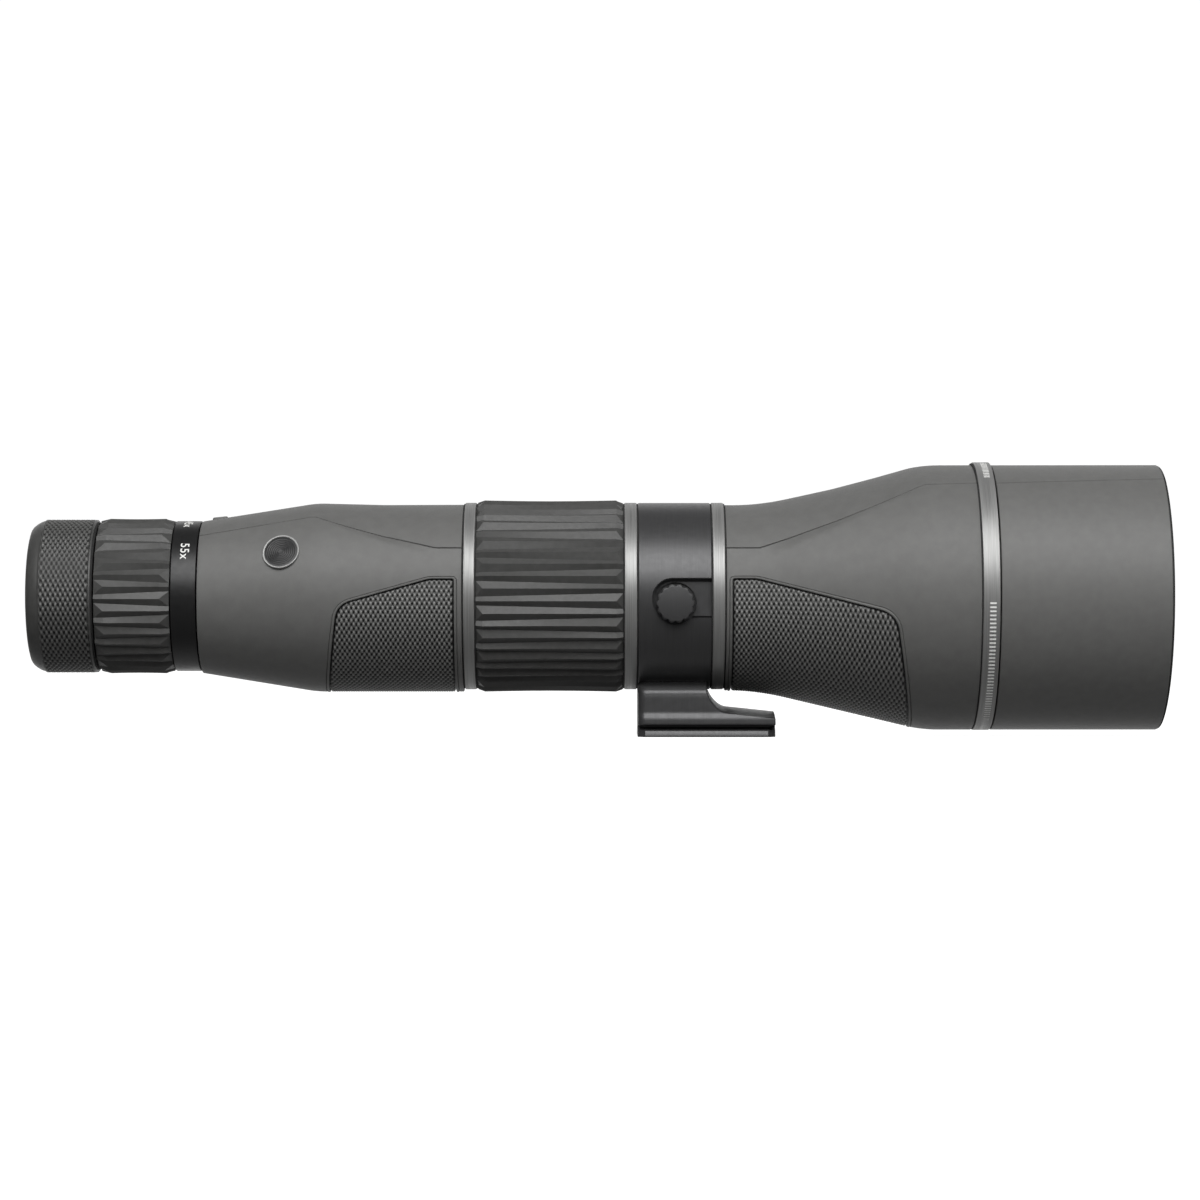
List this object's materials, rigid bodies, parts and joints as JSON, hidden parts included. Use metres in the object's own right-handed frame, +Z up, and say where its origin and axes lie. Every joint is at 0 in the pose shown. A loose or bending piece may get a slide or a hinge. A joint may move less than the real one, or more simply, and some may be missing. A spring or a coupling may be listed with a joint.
{
  "type": "spotting scope",
  "caption": "Straight spotting scope with a zoom eyepiece, barrel focus ring, sliding sunshade and a rotating tripod collar with a dovetail foot.",
  "frame": {"origin": "centre of the tripod foot's flat bottom face, 49.6 mm below the optical axis", "axes": "+X along the optical axis towards the objective, -X towards the eyepiece, +Z up; the lock knob and badge are on the -Y side"},
  "size_m": [0.3998, 0.0952, 0.0972],
  "materials": {
    "armor_rubber": "matte, fine grain",
    "grip_rubber": "matte, moulded grip pattern",
    "black_rubber": "matte",
    "black_metal": "satin black anodised",
    "gray_coat": "matte textured coating",
    "bare_trim": "turned, brushed",
    "tube_metal": "dark anodised",
    "matt_black": "flat anti-glare black",
    "cage_polymer": "glass-filled, matt black",
    "steel": "turned",
    "nylon": "natural nylon",
    "optical_glass": "polished, coated"
  },
  "bodies": {
    "tripod_collar": {"tripod_collar": "black_metal", "collar_liner": "nylon", "tripod_insert_quarter": "steel", "tripod_insert_three_eighths": "steel"},
    "clamp": {"clamp_shoe": "nylon"},
    "lock_knob": {"lock_knob": "black_metal", "clamp_screw": "steel"},
    "scope_tube": {"front_housing": "tube_metal", "front_armor": "armor_rubber", "front_grip_pad": "grip_rubber", "baffle_front": "matt_black", "baffle_middle": "matt_black", "objective_barrel": "tube_metal", "objective_seal_ring": "black_rubber", "objective_lens_rear": "optical_glass", "objective_lens_spacer": "matt_black", "objective_lens_front": "optical_glass", "objective_retaining_ring": "matt_black", "trim_ring_objective": "bare_trim", "sunshade_stop_ring": "black_metal", "center_tube": "tube_metal", "focus_seal_rear": "black_rubber", "focus_seal_front": "black_rubber", "trim_ring_rear": "bare_trim", "trim_ring_middle": "bare_trim", "trim_ring_front": "bare_trim", "rear_housing": "tube_metal", "rear_armor": "armor_rubber", "rear_grip_pad": "grip_rubber", "badge": "black_metal", "magnification_index": "black_metal", "prism_cage": "cage_polymer", "prism_entrance": "optical_glass", "prism_roof": "optical_glass", "prism_clamp": "cage_polymer", "field_stop": "matt_black", "eyepiece_barrel": "black_metal", "eye_lens": "optical_glass", "eye_lens_retainer": "matt_black"},
    "focus_ring": {"focus_grip": "grip_rubber", "focus_ring_core": "black_metal"},
    "focus_cell": {"focus_cell": "black_metal", "focus_lens": "optical_glass", "focus_drive_pin": "steel"},
    "zoom_ring": {"zoom_grip": "grip_rubber", "zoom_ring_core": "black_metal", "magnification_ring": "black_metal", "zoom_cam_tube": "tube_metal", "zoom_drive_pin": "steel"},
    "variator": {"variator_cell": "black_metal", "variator_lens": "optical_glass", "variator_pin": "steel"},
    "compensator": {"compensator_cell": "black_metal", "compensator_lens": "optical_glass", "compensator_pin": "steel"},
    "eyecup_guide": {"eyecup_guide_ring": "nylon"},
    "eyecup": {"eyecup_rubber": "black_rubber", "eyecup_sleeve": "black_metal"},
    "sunshade": {"sunshade": "gray_coat", "sunshade_guide": "black_rubber"}
  },
  "joints": [
    {"name": "collar_rotation", "type": "hinge", "parent": "tripod_collar", "child": "scope_tube", "pos_m": [-0.0113, 0, 0.0496], "axis": [1, 0, 0], "continuous": true},
    {"name": "clamp_travel", "type": "slide", "parent": "tripod_collar", "child": "clamp", "axis": [0, 1, 0], "range_m": [-0.0006, 0]},
    {"name": "lock_knob_turn", "type": "hinge", "parent": "clamp", "child": "lock_knob", "pos_m": [-0.0112, -0.0335, 0.047], "axis": [0, 1, 0], "range_deg": [-270, 0]},
    {"name": "focus_ring_turn", "type": "hinge", "parent": "scope_tube", "child": "focus_ring", "pos_m": [-0.0551, 0, 0.0496], "axis": [-1, 0, 0], "range_deg": [-150, 210]},
    {"name": "focus_cell_travel", "type": "slide", "parent": "scope_tube", "child": "focus_cell", "axis": [1, 0, 0], "range_m": [-0.005, 0.007]},
    {"name": "zoom_ring_turn", "type": "hinge", "parent": "scope_tube", "child": "zoom_ring", "pos_m": [-0.197, 0, 0.0496], "axis": [-1, 0, 0], "range_deg": [-75, 50]},
    {"name": "variator_travel", "type": "slide", "parent": "scope_tube", "child": "variator", "axis": [1, 0, 0], "range_m": [-0.00525, 0.0035]},
    {"name": "compensator_travel", "type": "slide", "parent": "scope_tube", "child": "compensator", "axis": [1, 0, 0], "range_m": [-0.00225, 0.00337]},
    {"name": "eyecup_rise", "type": "slide", "parent": "scope_tube", "child": "eyecup_guide", "axis": [-1, 0, 0], "range_m": [0, 0.009]},
    {"name": "eyecup_twist", "type": "hinge", "parent": "eyecup_guide", "child": "eyecup", "pos_m": [-0.2272, 0, 0.0496], "axis": [-1, 0, 0], "range_deg": [0, 270]},
    {"name": "sunshade_slide", "type": "slide", "parent": "scope_tube", "child": "sunshade", "axis": [1, 0, 0], "range_m": [0, 0.028]}
  ],
  "couplings": [
    {"joint": "lock_knob_turn", "follows": "clamp_travel", "rad_per_m": 7854},
    {"joint": "focus_cell_travel", "follows": "focus_ring_turn", "m_per_rad": 0.0019099},
    {"joint": "variator_travel", "follows": "zoom_ring_turn", "m_per_rad": 0.0040107},
    {"joint": "compensator_travel", "follows": "zoom_ring_turn", "m_per_rad": -0.0025783},
    {"joint": "eyecup_rise", "follows": "eyecup_twist", "m_per_rad": 0.0019099}
  ]
}
